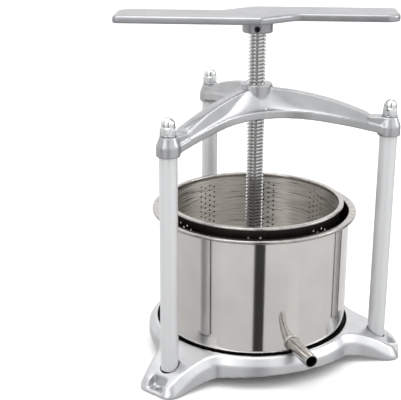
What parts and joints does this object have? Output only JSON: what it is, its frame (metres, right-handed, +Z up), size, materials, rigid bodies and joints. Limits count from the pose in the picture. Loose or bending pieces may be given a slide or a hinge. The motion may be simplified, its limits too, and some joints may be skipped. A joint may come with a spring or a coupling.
{
  "type": "fruit press",
  "caption": "Tabletop screw press: S-shaped handle drives a press plate down into a perforated basket inside a spouted juice bucket, held by a footed base, posts and an arched beam.",
  "frame": {"origin": "on the bench plane under the screw axis, centre of the bench bolt circle", "axes": "+Z up along the screw, -Y to the front where the spout points, +X to the right"},
  "size_m": [0.3274, 0.3406, 0.404],
  "materials": {
    "painted_casting": "satin silver paint on cast aluminium",
    "coated_post": "matt light silver powder coat",
    "zinc_steel": "bright zinc plate",
    "chromed_nut": "polished chrome",
    "bronze": "turned bronze",
    "black_steel": "black oxide",
    "polished_stainless": "polished stainless sheet",
    "brushed_stainless": "brushed stainless sheet",
    "bright_screw_steel": "bright plated steel thread"
  },
  "bodies": {
    "frame": {"base_casting": "painted_casting", "post_tube_left": "coated_post", "post_tube_right": "coated_post", "post_tube_back": "coated_post", "tie_rod_left": "zinc_steel", "tie_rod_right": "zinc_steel", "tie_rod_back": "zinc_steel", "dome_nuts": "chromed_nut", "top_washers": "zinc_steel", "base_washers": "zinc_steel", "base_nuts": "zinc_steel", "crossbeam": "painted_casting", "screw_bush": "zinc_steel", "bush_grub_screw": "black_steel"},
    "bucket": {"bucket_shell": "polished_stainless", "spout_tube": "polished_stainless", "spout_collar": "polished_stainless"},
    "basket": {"basket_wall": "brushed_stainless", "basket_floor": "brushed_stainless"},
    "plunger": {"press_plate": "brushed_stainless", "thrust_socket": "brushed_stainless", "thrust_pad": "bronze", "swivel_cap": "brushed_stainless", "cap_screws": "zinc_steel"},
    "screw": {"press_screw": "bright_screw_steel", "handle_casting": "painted_casting", "handle_grub_screw": "black_steel"}
  },
  "joints": [
    {"name": "plunge", "type": "slide", "parent": "frame", "child": "plunger", "axis": [0, 0, 1], "range_m": [-0.0541, 0.1201]},
    {"name": "screw_turn", "type": "hinge", "parent": "plunger", "child": "screw", "pos_m": [0, 0, 0], "axis": [0, 0, 1], "range_deg": [-4860, 10800]},
    {"name": "bucket_turn", "type": "hinge", "parent": "frame", "child": "bucket", "pos_m": [0, 0, 0], "axis": [0, 0, 1], "range_deg": [-45, 45]},
    {"name": "basket_lift", "type": "slide", "parent": "bucket", "child": "basket", "axis": [0, 0, 1], "range_m": [0, 0.005]}
  ],
  "couplings": [
    {"joint": "plunge", "follows": "screw_turn", "m_per_rad": 0.00063662}
  ]
}
